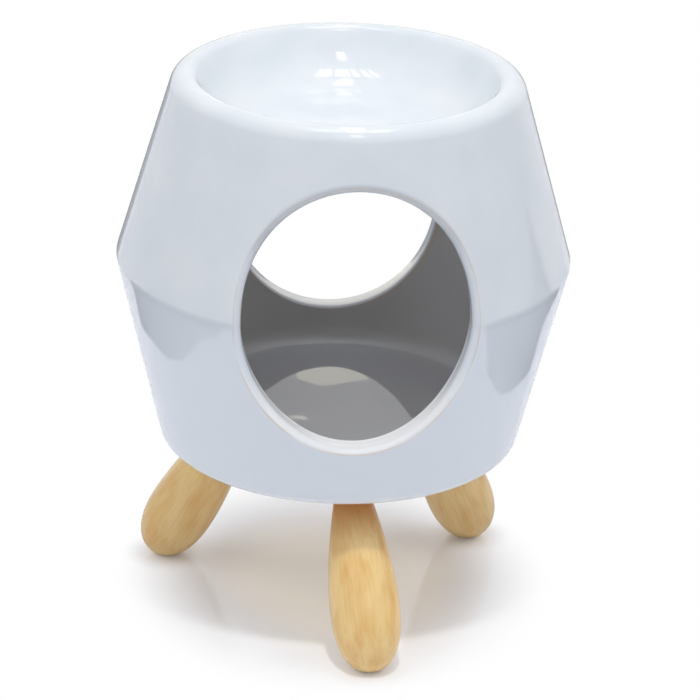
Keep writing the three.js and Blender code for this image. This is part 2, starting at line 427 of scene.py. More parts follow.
# Vertex normals from the uncut shapes; the sockets keep their own flat faces. Says which
# points lie on a turned face.
def shadeBody(mesh, sources):
    onLathe = [False] * len(mesh.vertices)
    for face in mesh.polygons:
        if face.material_index == latheFace:
            for v in face.vertices:
                onLathe[v] = True
    normals = []
    for vertex in mesh.vertices:
        place = vertex.co
        if onLathe[vertex.index]:
            outerNormal, outerGap = sources["outer"](place)
            chamberNormal, chamberGap = sources["chamber"](place)
            normals.append(outerNormal if outerGap < chamberGap else -chamberNormal)
        else:
            front = place.y < bodyAxis.y * mm
            normal, _ = sources["lips"][0 if front else 1](place)
            normals.append(-normal)
    corners = []
    for face in mesh.polygons:
        flat = face.material_index == socketFace
        corners += [face.normal.copy() if flat else normals[v] for v in face.vertices]
    mesh.shade_smooth()
    mesh.normals_split_custom_set(corners)
    return onLathe


# Attributes for the glaze: millimetres across the lips, above 0 on the wall and below 0 past
# the arris, and simply large away from them; 1 on the lips; and 1 inside the chamber
def markLips(mesh, ribs, onLathe):
    lip = b["lipFillet"]
    arris = math.radians(b["lipArris"])
    lipReach = 8.0
    wallSlack = 0.8  # how far past the chamber's plain outline a point still counts as inside
    floorSlack = 0.5
    ceilingSlack = 8.0
    finder = KDTree(len(ribs))
    for i, (centre, _, _, _) in enumerate(ribs):
        finder.insert(centre, i)
    finder.balance()
    across = []
    inside = []
    for vertex in mesh.vertices:
        place = vertex.co / mm - bodyAxis
        radius = math.hypot(place.x, place.y)
        if place.y > 0:
            place = Vector((-place.x, -place.y, place.z))
        nearest, index, gap = finder.find(place)
        _, outwards, sideways, _ = ribs[index]
        if onLathe[vertex.index]:
            onWall = (place - nearest).dot(sideways) + lip * math.sin(arris)
            across.append(max(onWall, gap - lipReach))
        else:
            across.append(lip * (arris - (place - nearest).angle(outwards, 0)))
        height = min(max(place.z, underside), top)
        wallRadius = upperSide(height, b["wall"]) if height > ring else lowerSide(height, b["wall"])
        level = chamberFloor - floorSlack < place.z < chamberCeiling + ceilingSlack
        underDish = place.z < dishFloor - b["dishWall"] / 2 or radius > b["rimRadius"] - b["rimWidth"]
        inside.append(1.0 if radius < wallRadius + wallSlack and level and underDish else 0.0)
    onLip = [0.0 if lathe else 1.0 for lathe in onLathe]
    for name, values in (("lipAcross", across), ("lipSide", onLip), ("chamberSide", inside)):
        mesh.attributes.new(name, "FLOAT", "POINT").data.foreach_set("value", values)


# Glossy white tin-type glaze over cast earthenware: a clear, wet-looking skin that runs
# thin and shows the tan clay on the sharpest edges
def glazeMaterial():
    look = {
        "white": 0xE8ECF0,
        "pooled": 0xE1E7EC,
        # lighter below the ring: painted light from the bright table
        "litBelowRing": 0xEEF4FA,
        "clay": 0xDFC8AC,
        # greyer in the chamber, less so on its right-hand wall and floor: painted shade
        "inside": 0xC6C4C1,
        "insideRight": 0xDAD8D7,
        "insideFloor": 0xD6D6D8,
        # whiter on the lips' low parts, which face up: painted light
        "lip": 0xFBFCFD,
        # greyer on the lips' high parts, which face down: painted shade
        "shadedHighLip": 0xD6DADE,
        # greyer on the wall just above the high lips: painted shade
        "paintedShadeAboveLip": 0xBCC1C7,
        "paintedShadeAboveLipWidth": 1.5,
        "roughness": 0.03,
        "insideRoughness": 0.35,
        "patchSize": 14.0,
        "stretchSize": 16.0,
        "waveSize": 9.0,
        "waveHeight": 0.016,
        "peelSize": 1.1,
        "peelHeight": 0.0002,
        "breakWidth": 0.5,
        "breakPlace": -0.12,
        "rightFrom": 6.0,
        "rightTo": 30.0,
    }
    # Heights between which the painted light and shade, or the dullness, change from not at all to fully
    changes = {
        "litBelowRing": (ring + 1, ring - 3),
        "highLipShade": (ring + 12, ring + 24),
        "lowLipLight": (ring - 8, ring - 22),
        "onFloor": (chamberFloor + 3, chamberFloor + 0.2),
        "aboveFloor": (chamberFloor + 0.05, chamberFloor + 0.3),
    }
    material, tree, shader = newMaterial("glossyWhiteGlaze")
    place = addNode(tree, "ShaderNodeTexCoord").outputs["Object"]

    patches = addNode(tree, "ShaderNodeTexNoise", {
        "Vector": place, "Scale": 1 / (look["patchSize"] * mm), "Detail": 3.0, "Roughness": 0.5,
    })
    pooled = addNode(tree, "ShaderNodeMapRange", {
        "Value": patches.outputs["Fac"], "From Min": 0.35, "From Max": 0.7,
    })
    white = addNode(tree, "ShaderNodeMix", {
        "Factor": pooled.outputs["Result"], 6: linearColour(look["white"]), 7: linearColour(look["pooled"]),
    }, data_type="RGBA")

    spot = addNode(tree, "ShaderNodeSeparateXYZ", {0: place})
    byHeight = {}
    for name, (start, end) in changes.items():
        byHeight[name] = addNode(tree, "ShaderNodeMapRange", {
            "Value": spot.outputs["Z"], "From Min": start * mm, "From Max": end * mm,
        }, interpolation_type="SMOOTHSTEP").outputs["Result"]

    # Light and shade painted by height: painted light below the ring, from the bright table under it;
    # painted shade on the lips' high parts and the wall just above them, painted light on their low parts
    outside = addNode(tree, "ShaderNodeMix", {
        "Factor": byHeight["litBelowRing"], 6: white.outputs[2], 7: linearColour(look["litBelowRing"]),
    }, data_type="RGBA")
    lips = addNode(tree, "ShaderNodeAttribute", attribute_name="lipSide")
    across = addNode(tree, "ShaderNodeAttribute", attribute_name="lipAcross")
    # Painted shade on the wall just above the lips' high parts
    nearEdge = addNode(tree, "ShaderNodeMapRange", {
        "Value": across.outputs["Fac"], "From Min": look["paintedShadeAboveLipWidth"], "From Max": 0.0,
    }, interpolation_type="SMOOTHSTEP")
    shadeAboveLipShare = addNode(tree, "ShaderNodeMath", {
        0: nearEdge.outputs["Result"], 1: byHeight["highLipShade"],
    }, operation="MULTIPLY")
    shadedAboveLip = addNode(tree, "ShaderNodeMix", {
        "Factor": shadeAboveLipShare.outputs[0], 6: outside.outputs[2], 7: linearColour(look["paintedShadeAboveLip"]),
    }, data_type="RGBA")
    # Painted shade on the lips' high parts
    highLipShade = addNode(tree, "ShaderNodeMath", {
        0: lips.outputs["Fac"], 1: byHeight["highLipShade"],
    }, operation="MULTIPLY")
    highLip = addNode(tree, "ShaderNodeMix", {
        "Factor": highLipShade.outputs[0], 6: shadedAboveLip.outputs[2], 7: linearColour(look["shadedHighLip"]),
    }, data_type="RGBA")
    # Painted light on the lips' low parts
    lowLipLight = addNode(tree, "ShaderNodeMath", {
        0: lips.outputs["Fac"], 1: byHeight["lowLipLight"],
    }, operation="MULTIPLY")
    lipped = addNode(tree, "ShaderNodeMix", {
        "Factor": lowLipLight.outputs[0], 6: highLip.outputs[2], 7: linearColour(look["lip"]),
    }, data_type="RGBA")
    chamber = addNode(tree, "ShaderNodeAttribute", attribute_name="chamberSide")
    notLip = addNode(tree, "ShaderNodeMath", {0: 1.0, 1: lips.outputs["Fac"]}, operation="SUBTRACT")
    within = addNode(tree, "ShaderNodeMath", {
        0: chamber.outputs["Fac"], 1: notLip.outputs[0],
    }, operation="MULTIPLY")
    # Painted shade in the chamber: greyer, least so on the right-hand wall and the floor
    toRight = addNode(tree, "ShaderNodeMapRange", {
        "Value": spot.outputs["X"],
        "From Min": look["rightFrom"] * mm, "From Max": look["rightTo"] * mm,
    }, interpolation_type="SMOOTHSTEP")
    walls = addNode(tree, "ShaderNodeMix", {
        "Factor": toRight.outputs["Result"],
        6: linearColour(look["inside"]), 7: linearColour(look["insideRight"]),
    }, data_type="RGBA")
    inside = addNode(tree, "ShaderNodeMix", {
        "Factor": byHeight["onFloor"], 6: walls.outputs[2], 7: linearColour(look["insideFloor"]),
    }, data_type="RGBA")
    shaded = addNode(tree, "ShaderNodeMix", {
        "Factor": within.outputs[0], 6: lipped.outputs[2], 7: inside.outputs[2],
    }, data_type="RGBA")

    # The clay shows through in broken stretches along the start of the lip
    offset = addNode(tree, "ShaderNodeMath", {
        0: across.outputs["Fac"], 1: look["breakPlace"],
    }, operation="SUBTRACT")
    distance = addNode(tree, "ShaderNodeMath", {0: offset.outputs[0]}, operation="ABSOLUTE")
    edge = addNode(tree, "ShaderNodeMapRange", {
        "Value": distance.outputs[0], "From Min": look["breakWidth"], "From Max": 0.0,
    }, interpolation_type="SMOOTHSTEP")
    stretches = addNode(tree, "ShaderNodeTexNoise", {
        "Vector": place, "Scale": 1 / (look["stretchSize"] * mm), "Detail": 2.0, "Roughness": 0.5,
    })
    broken = addNode(tree, "ShaderNodeMapRange", {
        "Value": stretches.outputs["Fac"], "From Min": 0.35, "From Max": 0.65, "To Max": 0.8,
    })
    thin = addNode(tree, "ShaderNodeMath", {
        0: edge.outputs["Result"], 1: broken.outputs["Result"],
    }, operation="MULTIPLY")
    colour = addNode(tree, "ShaderNodeMix", {
        "Factor": thin.outputs[0], 6: shaded.outputs[2], 7: linearColour(look["clay"]),
    }, data_type="RGBA")
    tree.links.new(colour.outputs[2], shader.inputs["Base Color"])

    # The poured glaze is never quite even: long waves, and a fine orange peel
    waves = addNode(tree, "ShaderNodeTexNoise", {
        "Vector": place, "Scale": 1 / (look["waveSize"] * mm), "Detail": 1.0,
    })
    peel = addNode(tree, "ShaderNodeTexNoise", {
        "Vector": place, "Scale": 1 / (look["peelSize"] * mm), "Detail": 1.0,
    })
    waveBump = addNode(tree, "ShaderNodeBump", {
        "Height": waves.outputs["Fac"], "Distance": look["waveHeight"] * mm, "Strength": 1.0,
    })
    peelBump = addNode(tree, "ShaderNodeBump", {
        "Height": peel.outputs["Fac"], "Distance": look["peelHeight"] * mm, "Strength": 1.0,
        "Normal": waveBump.outputs["Normal"],
    })
    tree.links.new(peelBump.outputs["Normal"], shader.inputs["Normal"])
    gloss = addNode(tree, "ShaderNodeMapRange", {
        "Value": patches.outputs["Fac"], "From Min": 0.3, "From Max": 0.7,
        "To Min": look["roughness"], "To Max": look["roughness"] + 0.02,
    })
    # Above the floor of the chamber the glaze is thinner and duller
    dull = addNode(tree, "ShaderNodeMath", {
        0: chamber.outputs["Fac"], 1: byHeight["aboveFloor"],
    }, operation="MULTIPLY")
    rough = addNode(tree, "ShaderNodeMix", {
        "Factor": dull.outputs[0], 2: gloss.outputs["Result"], 3: look["insideRoughness"],
    })
    tree.links.new(rough.outputs[0], shader.inputs["Roughness"])
    shader.inputs["IOR"].default_value = 1.58
    return material


# Bare fired clay, wiped clean of glaze so that the base doesn't stick in the kiln:
# matt and faintly speckled
def bisqueMaterial():
    look = {"clay": 0xE3DCD0, "dark": 0xC9BCA8, "grit": 0.6, "gritHeight": 0.05}
    material, tree, shader = newMaterial("bareFiredClay")
    place = addNode(tree, "ShaderNodeTexCoord").outputs["Object"]
    grit = addNode(tree, "ShaderNodeTexNoise", {
        "Vector": place, "Scale": 1 / (look["grit"] * mm), "Detail": 4.0, "Roughness": 0.7,
    })
    specks = addNode(tree, "ShaderNodeMapRange", {
        "Value": grit.outputs["Fac"], "From Min": 0.55, "From Max": 0.75,
    })
    colour = addNode(tree, "ShaderNodeMix", {
        "Factor": specks.outputs["Result"], 6: linearColour(look["clay"]), 7: linearColour(look["dark"]),
    }, data_type="RGBA")
    tree.links.new(colour.outputs[2], shader.inputs["Base Color"])
    bump = addNode(tree, "ShaderNodeBump", {
        "Height": grit.outputs["Fac"], "Distance": look["gritHeight"] * mm, "Strength": 0.6,
    })
    tree.links.new(bump.outputs["Normal"], shader.inputs["Normal"])
    shader.inputs["Roughness"].default_value = 0.75
    return material


# Pale beech, turned, sanded and sealed with satin lacquer: fine lengthwise grain, short
# dark flecks and a soft sheen. Its pattern lies in the leg's own lengths.
def woodMaterial():
    look = {
        "pale": 0xFFDD9A,
        "deep": 0xE9A549,
        # darker, more orange neck: painted shade under the body
        "neck": 0xC06C08,
        "fleck": 0xB37E3E,
        "streaks": {"width": 0.6, "length": 16.0, "detail": 3.0, "distortion": 0.0},
        "patches": {"width": 4.5, "length": 11.0, "detail": 1.0, "distortion": 0.25},
        "flecks": {"width": 0.35, "length": 4.0, "detail": 1.0, "distortion": 0.0},
        "streakHeight": 0.02,
        "neckShadeFrom": -17.0,
        "neckShadeTo": -3.0,
        "roughness": 0.4,
    }
    material, tree, shader = newMaterial("lacqueredBeech")
    place = addNode(tree, "ShaderNodeAttribute", attribute_name="grainPlace").outputs["Vector"]
    grain = {}
    for name in ("streaks", "patches", "flecks"):
        size = look[name]
        across = 1 / (size["width"] * mm)
        stretched = addNode(tree, "ShaderNodeVectorMath", {
            0: place, 1: (across, across, 1 / (size["length"] * mm)),
        }, operation="MULTIPLY")
        grain[name] = addNode(tree, "ShaderNodeTexNoise", {
            "Vector": stretched.outputs[0], "Scale": 1.0, "Detail": size["detail"],
            "Roughness": 0.6, "Distortion": size["distortion"],
        }).outputs["Fac"]
    patchShare = addNode(tree, "ShaderNodeMapRange", {
        "Value": grain["patches"], "From Min": 0.4, "From Max": 0.75, "To Max": 0.5,
    })
    streakShare = addNode(tree, "ShaderNodeMapRange", {
        "Value": grain["streaks"], "From Min": 0.4, "From Max": 0.75, "To Max": 0.3,
    })
    depth = addNode(tree, "ShaderNodeMath", {
        0: patchShare.outputs["Result"], 1: streakShare.outputs["Result"],
    }, operation="ADD", use_clamp=True)
    bulb = addNode(tree, "ShaderNodeMix", {
        "Factor": depth.outputs[0], 6: linearColour(look["pale"]), 7: linearColour(look["deep"]),
    }, data_type="RGBA")

    # Painted shade: the neck, in the body's shadow, is darker and more orange
    own = addNode(tree, "ShaderNodeSeparateXYZ", {0: place})
    neckShare = addNode(tree, "ShaderNodeMapRange", {
        "Value": own.outputs["Z"], "To Max": 0.95,
        "From Min": look["neckShadeFrom"] * mm, "From Max": look["neckShadeTo"] * mm,
    }, interpolation_type="SMOOTHSTEP")
    tone = addNode(tree, "ShaderNodeMix", {
        "Factor": neckShare.outputs["Result"], 6: bulb.outputs[2], 7: linearColour(look["neck"]),
    }, data_type="RGBA")
    fleckShare = addNode(tree, "ShaderNodeMapRange", {
        "Value": grain["flecks"], "From Min": 0.7, "From Max": 0.82, "To Max": 0.35,
    })
    colour = addNode(tree, "ShaderNodeMix", {
        "Factor": fleckShare.outputs["Result"], 6: tone.outputs[2], 7: linearColour(look["fleck"]),
    }, data_type="RGBA")
    tree.links.new(colour.outputs[2], shader.inputs["Base Color"])
    bump = addNode(tree, "ShaderNodeBump", {
        "Height": grain["streaks"], "Distance": look["streakHeight"] * mm, "Strength": 0.5,
    })
    tree.links.new(bump.outputs["Normal"], shader.inputs["Normal"])
    shader.inputs["Roughness"].default_value = look["roughness"]
    shader.inputs["Specular IOR Level"].default_value = 0.3
    shader.inputs["Coat Weight"].default_value = 0.5
    shader.inputs["Coat Roughness"].default_value = 0.12
    return material


# Geometry Nodes tree of a turned leg. Its outline is a superellipse for the foot, a sine
# for the neck and a straight tenon; the foot is cut flat where it meets the table.
def legTree(material):
    tree = bpy.data.node_groups.new("turnedLeg", "GeometryNodeTree")
    sockets = tree.interface
    kinds = {
        "rings": "Int", "sides": "Int", "place": "Vector", "rotation": "Rotation", "grainShift": "Vector",
    }
    lengths = ("neckRadius", "bulbRadius", "bulbDistance", "footLength", "footRoundness",
               "neckEnd", "tenonLength", "tenonChamfer")
    for name in (*lengths, *kinds):
        sockets.new_socket(name, in_out="INPUT", socket_type="NodeSocket" + kinds.get(name, "Float"))
    sockets.new_socket("Geometry", in_out="OUTPUT", socket_type="NodeSocketGeometry")
    given = tree.nodes.new("NodeGroupInput").outputs
    values = {socket.name: socket for socket in given}
    values["index"] = addNode(tree, "GeometryNodeInputIndex").outputs[0]
    values["quarter"] = math.pi / 2

    # Each row names a value worked out from those above it. share runs 0 to 1 up the foot,
    # 1 to 2 along the neck and 2 to 3 over the tenon, and its three parts are clamped to 0 to 1.
    clamped = ("footShare", "neckShare", "tenonShare")
    rows = [
        ("stretch", "DIVIDE", "rings", 3.0),
        ("share", "DIVIDE", "index", "stretch"),
        ("footShare", "ADD", "share", 0.0),
        ("neckShare", "SUBTRACT", "share", 1.0),
        ("tenonShare", "SUBTRACT", "share", 2.0),
        ("footTurn", "MULTIPLY", "footShare", "quarter"),
        ("footCosine", "COSINE", "footTurn", 0.0),
        ("footDrop", "MULTIPLY", "footLength", "footCosine"),
        ("footPower", "POWER", "footCosine", "footRoundness"),
        ("footRest", "SUBTRACT", 1.0, "footPower"),
        ("footBase", "MAXIMUM", "footRest", 0.0),
        ("footRoot", "DIVIDE", 1.0, "footRoundness"),
        ("footWidth", "POWER", "footBase", "footRoot"),
        ("footRadius", "MULTIPLY", "bulbRadius", "footWidth"),
        ("neckLength", "SUBTRACT", "bulbDistance", "neckEnd"),
        ("neckRise", "MULTIPLY", "neckLength", "neckShare"),
        ("neckFall", "SUBTRACT", "bulbRadius", "neckRadius"),
        ("neckTurn", "MULTIPLY", "neckShare", "quarter"),
        ("neckCosine", "COSINE", "neckTurn", 0.0),
        ("neckExtra", "MULTIPLY", "neckFall", "neckCosine"),
        ("neckWidth", "ADD", "neckRadius", "neckExtra"),
        ("tenonReach", "ADD", "neckEnd", "tenonLength"),
        ("tenonRise", "MULTIPLY", "tenonReach", "tenonShare"),
        ("chamferStart", "SUBTRACT", "tenonReach", "tenonChamfer"),
        ("chamferRise", "SUBTRACT", "tenonRise", "chamferStart"),
        ("chamferIn", "MAXIMUM", "chamferRise", 0.0),
        ("upperRadius", "SUBTRACT", "neckWidth", "chamferIn"),
        ("pastFoot", "GREATER_THAN", "share", 1.0),
        ("rise", "ADD", "neckRise", "tenonRise"),
        ("riseFromBulb", "SUBTRACT", "rise", "bulbDistance"),
        ("height", "SUBTRACT", "riseFromBulb", "footDrop"),
        ("count", "ADD", "rings", 1.0),
    ]
    for name, operation, first, second in rows:
        values[name] = addNode(tree, "ShaderNodeMath", {
            0: values.get(first, first), 1: values.get(second, second),
        }, operation=operation, use_clamp=name in clamped).outputs[0]
    radius = addNode(tree, "ShaderNodeMix", {
        "Factor": values["pastFoot"], 2: values["footRadius"], 3: values["upperRadius"],
    })
    # The very tip keeps a hair's breadth, so that its end cap has an area
    thickness = addNode(tree, "ShaderNodeMath", {0: radius.outputs[0], 1: 0.00001}, operation="MAXIMUM")

    axis = addNode(tree, "GeometryNodeCurvePrimitiveLine")
    line = addNode(tree, "GeometryNodeResampleCurve", {
        "Curve": axis.outputs[0], "Count": values["count"],
    })
    spot = addNode(tree, "ShaderNodeCombineXYZ", {"Z": values["height"]})
    placed = addNode(tree, "GeometryNodeSetPosition", {
        "Geometry": line.outputs[0], "Position": spot.outputs[0],
    })
    section = addNode(tree, "GeometryNodeCurvePrimitiveCircle", {
        "Resolution": given["sides"], "Radius": 1.0,
    })
    skin = addNode(tree, "GeometryNodeCurveToMesh", {
        "Curve": placed.outputs[0], "Profile Curve": section.outputs[0], "Fill Caps": True,
        "Scale": thickness.outputs[0],
    })
    position = addNode(tree, "GeometryNodeInputPosition").outputs[0]
    grainPlace = addNode(tree, "ShaderNodeVectorMath", {
        0: position, 1: given["grainShift"],
    }, operation="ADD")
    grained = addNode(tree, "GeometryNodeStoreNamedAttribute", {
        "Geometry": skin.outputs[0], "Name": "grainPlace", "Value": grainPlace.outputs[0],
    }, data_type="FLOAT_VECTOR", domain="POINT")
    stood = addNode(tree, "GeometryNodeTransform", {
        "Geometry": grained.outputs[0], "Translation": given["place"], "Rotation": given["rotation"],
    })
    # Whatever dips under the table is pressed flat on it
    stands = addNode(tree, "ShaderNodeSeparateXYZ", {0: position})
    raised = addNode(tree, "ShaderNodeMath", {0: stands.outputs["Z"], 1: 0.0}, operation="MAXIMUM")
    flat = addNode(tree, "ShaderNodeCombineXYZ", {
        "X": stands.outputs["X"], "Y": stands.outputs["Y"], "Z": raised.outputs[0],
    })
    cut = addNode(tree, "GeometryNodeSetPosition", {
        "Geometry": stood.outputs[0], "Position": flat.outputs[0],
    })
    smooth = addNode(tree, "GeometryNodeSetShadeSmooth", {"Geometry": cut.outputs[0]})
    real = addNode(tree, "GeometryNodeRealizeInstances", {"Geometry": smooth.outputs[0]})
    dressed = addNode(tree, "GeometryNodeSetMaterial", {"Geometry": real.outputs[0], "Material": material})
    addNode(tree, "NodeGroupOutput", {0: dressed.outputs[0]})
    return tree


def buildLeg(tree, name, number):
    rotation, place = legPlace(number)
    power = g["footRoundness"] / (g["footRoundness"] - 1)
    widest = underside - g["bulbDistance"] * math.cos(legSlant)
    reach = (widest + g["footFlatDepth"]) ** power - (g["bulbRadius"] * math.sin(legSlant)) ** power
    values = {
        "neckRadius": g["neckRadius"] * mm,
        "bulbRadius": g["bulbRadius"] * mm,
        "bulbDistance": g["bulbDistance"] * mm,
        "footLength": reach ** (1 / power) / math.cos(legSlant) * mm,
        "footRoundness": g["footRoundness"],
        "neckEnd": (g["neckRadius"] * math.tan(legSlant) + g["socketClearance"]) * mm,
        "tenonLength": g["tenonLength"] * mm,
        "tenonChamfer": g["tenonChamfer"] * mm,
        "rings": g["rings"],
        "sides": g["sides"],
        "place": place * mm,
        "rotation": rotation.to_euler(),
        "grainShift": Vector((0.113, 0.231, 0)) * number,
    }
    carrier = addObject(name, bpy.data.meshes.new(name))
    modifier = carrier.modifiers.new("turnedLeg", "NODES")
    modifier.node_group = tree
    for item in tree.interface.items_tree:
        if item.in_out == "INPUT":
            modifier[item.identifier] = values[item.name]
    view = bpy.context.evaluated_depsgraph_get()
    mesh = bpy.data.meshes.new_from_object(carrier.evaluated_get(view))
    carrier.modifiers.remove(modifier)
    carrier.data = mesh
    return carrier


# The studio: a glossy white table, soft light from all sides, and a few compact lamps above
# that the glaze mirrors. Bearings and height angles are in degrees, seen from the burner. A
# lamp is mirrored by the glaze, lights the pieces, or both.
studio = {
    "lampDistance": 700.0,
    "boxDistance": 1200.0,
    "aimHeight": 60.0,
    "roomLight": 0.37,
    "lightColour": 0xFEFEFB,
    "roomColour": 0xEAEFFD,
    "mirroredRoom": 0.45,
    "mirroredSky": 0.96,
    "floorSize": 3000.0,
    "tableColour": 0xF6F7FB,
    # painted warm light between the legs, for the camera only
    "paintedWarmColour": 0xFDF6EA,
    "fadeCentre": (0.0, 5.0, 0.0),
    "fadeFrom": 30.0,
    "fadeTo": 60.0,
    "fadeNarrowing": 1.15,
    "paintedWarmFrom": 45.0,
    "paintedWarmTo": 15.0,
    "footPlace": 37.75,  # down a leg's axis from the body's underside
    "footFade": 0.25,
    "footFadeFrom": 3.0,
    "footFadeTo": 11.0,
    "cardHeight": 0.5,
    "scrapPlace": 62.0,
    "scrapColour": 0xFFFBE9,
}
lamps = {
    "keyLamp": {
        "elevation": 72.5, "place": 0.0, "width": 45.0, "length": 45.0, "power": 1.5,
        "mirrored": False, "lights": True,
    },
    "frontLamp": {
        "elevation": 64.0, "place": 30.0, "width": 62.0, "length": 200.0, "power": 0.17,
        "mirrored": True, "lights": True,
    },
    "rearLamp": {
        "elevation": 117.0, "place": 33.0, "width": 38.0, "length": 200.0, "power": 0.12,
        "mirrored": True, "lights": False,
    },
}
lampRow = {"elevation": 96.5, "length": 180.0, "radiance": 5.0}
lampRowWidths = {136.0: 22.0, 99.0: 38.0, 33.0: 58.0, -22.0: 22.0, -68.0: 23.0, -105.0: 18.0}
softBoxes = {
    "frontBox": {"bearing": -110.0, "elevation": 42.0, "width": 1100.0, "height": 640.0, "radiance": 0.45},
    "rightBox": {"bearing": 0.0, "elevation": 45.0, "width": 1100.0, "height": 640.0, "radiance": 1.75},
    "leftBox": {"bearing": 180.0, "elevation": 45.0, "width": 1100.0, "height": 640.0, "radiance": 1.5},
    "rearBox": {"bearing": 90.0, "elevation": 45.0, "width": 1100.0, "height": 640.0, "radiance": 0.2},
    "backdrop": {"bearing": 90.0, "elevation": 14.0, "width": 2000.0, "height": 600.0, "radiance": 1.0},
}

# Dark cards on the table, out of the camera's sight, that only the glaze mirrors: corners
# going round each card
darkCards = {
    "rightCard": {
        "tone": 0x101010,
        "corners": [
            (121, -48), (109, -26), (107, 1), (108, 34), (106, 65), (125, 77), (128, 114),
            (1400, 590), (1400, -520),
        ],
    },
    "leftCard": {
        "tone": 0x101010,
        "corners": [
            (-109, -53), (-119, -28), (-116, 8), (-113, 63), (-104, 98), (-170, 141),
            (-1400, 500), (-1400, -1150), (-187, -123),
        ],
    },
    "backCard": {
        "tone": 0x909090,
        "corners": [(-120, 205), (120, 205), (540, 1400), (-540, 1400)],
    },
}

# Two pale scraps behind the rear opening, which glow but are no lamps; only the chamber's glazed floor
# mirrors them, as bright spots: corners across and up
glowingScraps = {
    "wideScrap": {
        "glow": 1.9,
        "corners": [
            (-6, 66), (-6, 60), (12, 60), (11.5, 66.5), (7, 67), (3.5, 68), (0, 68.2), (-2.5, 67.6),
        ],
    },
    "thinScrap": {
        "glow": 3.0,
        "corners": [
            (-8.2, 76.6), (-6.2, 76.2), (-4.2, 76.4), (-2.5, 77.1), (-4.2, 77.1), (-6.2, 76.9),
        ],
    },
}


# The table: glossy white, with the burner's shadow on it
def buildFloor():
    half = studio["floorSize"] / 2
    corners = [(-half, -half, 0), (half, -half, 0), (half, half, 0), (-half, half, 0)]
    floor = addObject("studioTable", newMesh("studioTable", corners, [(0, 1, 2, 3)]))
    material, tree, shader = newMaterial("whiteTable")
    shader.inputs["Roughness"].default_value = 0.08
    path = addNode(tree, "ShaderNodeLightPath")
    # Past the shadow the table fades to the plain white of the backdrop, for the camera only
    place = addNode(tree, "ShaderNodeTexCoord").outputs["Object"]
    fromCentre = addNode(tree, "ShaderNodeVectorMath", {
        0: place, 1: Vector(studio["fadeCentre"]) * mm,
    }, operation="SUBTRACT")
    oval = addNode(tree, "ShaderNodeVectorMath", {
        0: fromCentre.outputs[0], 1: (studio["fadeNarrowing"], 1.0, 1.0),
    }, operation="MULTIPLY")
    distance = addNode(tree, "ShaderNodeVectorMath", {0: oval.outputs[0]}, operation="LENGTH")
    fade = addNode(tree, "ShaderNodeMapRange", {
        "Value": distance.outputs["Value"],
        "From Min": studio["fadeFrom"] * mm, "From Max": studio["fadeTo"] * mm,
    }, interpolation_type="SMOOTHSTEP")
    # It stays as it is close round each foot, so that the foot's own shadow shows
    for number in range(len(legNames)):
        rotation, start = legPlace(number)
        foot = start + rotation @ Vector((0, 0, -studio["footPlace"]))
        gap = addNode(tree, "ShaderNodeVectorMath", {
            0: place, 1: Vector((foot.x, foot.y, 0)) * mm,
        }, operation="DISTANCE")
        clear = addNode(tree, "ShaderNodeMapRange", {
            "Value": gap.outputs["Value"], "To Min": studio["footFade"],
            "From Min": studio["footFadeFrom"] * mm, "From Max": studio["footFadeTo"] * mm,
        }, interpolation_type="SMOOTHSTEP")
        fade = addNode(tree, "ShaderNodeMath", {
            0: fade.outputs[0], 1: clear.outputs[0],
        }, operation="MULTIPLY")
    # Between the legs the camera sees it warmer: painted warm light, bounced from the wood
    warm = addNode(tree, "ShaderNodeMapRange", {
        "Value": distance.outputs["Value"],
        "From Min": studio["paintedWarmFrom"] * mm, "From Max": studio["paintedWarmTo"] * mm,
    }, interpolation_type="SMOOTHSTEP")
    tint = addNode(tree, "ShaderNodeMath", {
        0: warm.outputs["Result"], 1: path.outputs["Is Camera Ray"],
    }, operation="MULTIPLY")
    paper = addNode(tree, "ShaderNodeMix", {
        "Factor": tint.outputs[0],
        6: linearColour(studio["tableColour"]), 7: linearColour(studio["paintedWarmColour"]),
    }, data_type="RGBA")
    tree.links.new(paper.outputs[2], shader.inputs["Base Color"])
    seen = addNode(tree, "ShaderNodeMath", {
        0: fade.outputs[0], 1: path.outputs["Is Camera Ray"],
    }, operation="MULTIPLY")
    white = addNode(tree, "ShaderNodeEmission", {"Color": (1, 1, 1, 1), "Strength": 1.0})
    mixed = addNode(tree, "ShaderNodeMixShader", {
        0: seen.outputs[0], 1: shader.outputs[0], 2: white.outputs[0],
    })
    tree.links.new(mixed.outputs[0], tree.nodes["Material Output"].inputs["Surface"])
    floor.data.materials.append(material)


# A flat card that neither the camera nor the other light sees, so only the glaze mirrors it
def addCard(name, points, material):
    card = addObject(name, newMesh(name, points, [tuple(range(len(points)))]))
    card.data.materials.append(material)
    card.visible_camera = False
    card.visible_diffuse = False
    card.visible_shadow = False


def buildCards():
    for name, card in darkCards.items():
        material, _, shader = newMaterial(name)
        shader.inputs["Base Color"].default_value = linearColour(card["tone"])
        shader.inputs["Roughness"].default_value = 1.0
        shader.inputs["Specular IOR Level"].default_value = 0.0
        addCard(name, [(x, y, studio["cardHeight"]) for x, y in card["corners"]], material)


def buildScraps():
    for name, scrap in glowingScraps.items():
        material, tree, _ = newMaterial(name)
        glow = addNode(tree, "ShaderNodeEmission", {
            "Color": linearColour(studio["scrapColour"]), "Strength": scrap["glow"],
        })
        tree.links.new(glow.outputs[0], tree.nodes["Material Output"].inputs["Surface"])
        addCard(name, [(x, studio["scrapPlace"], z) for x, z in scrap["corners"]], material)


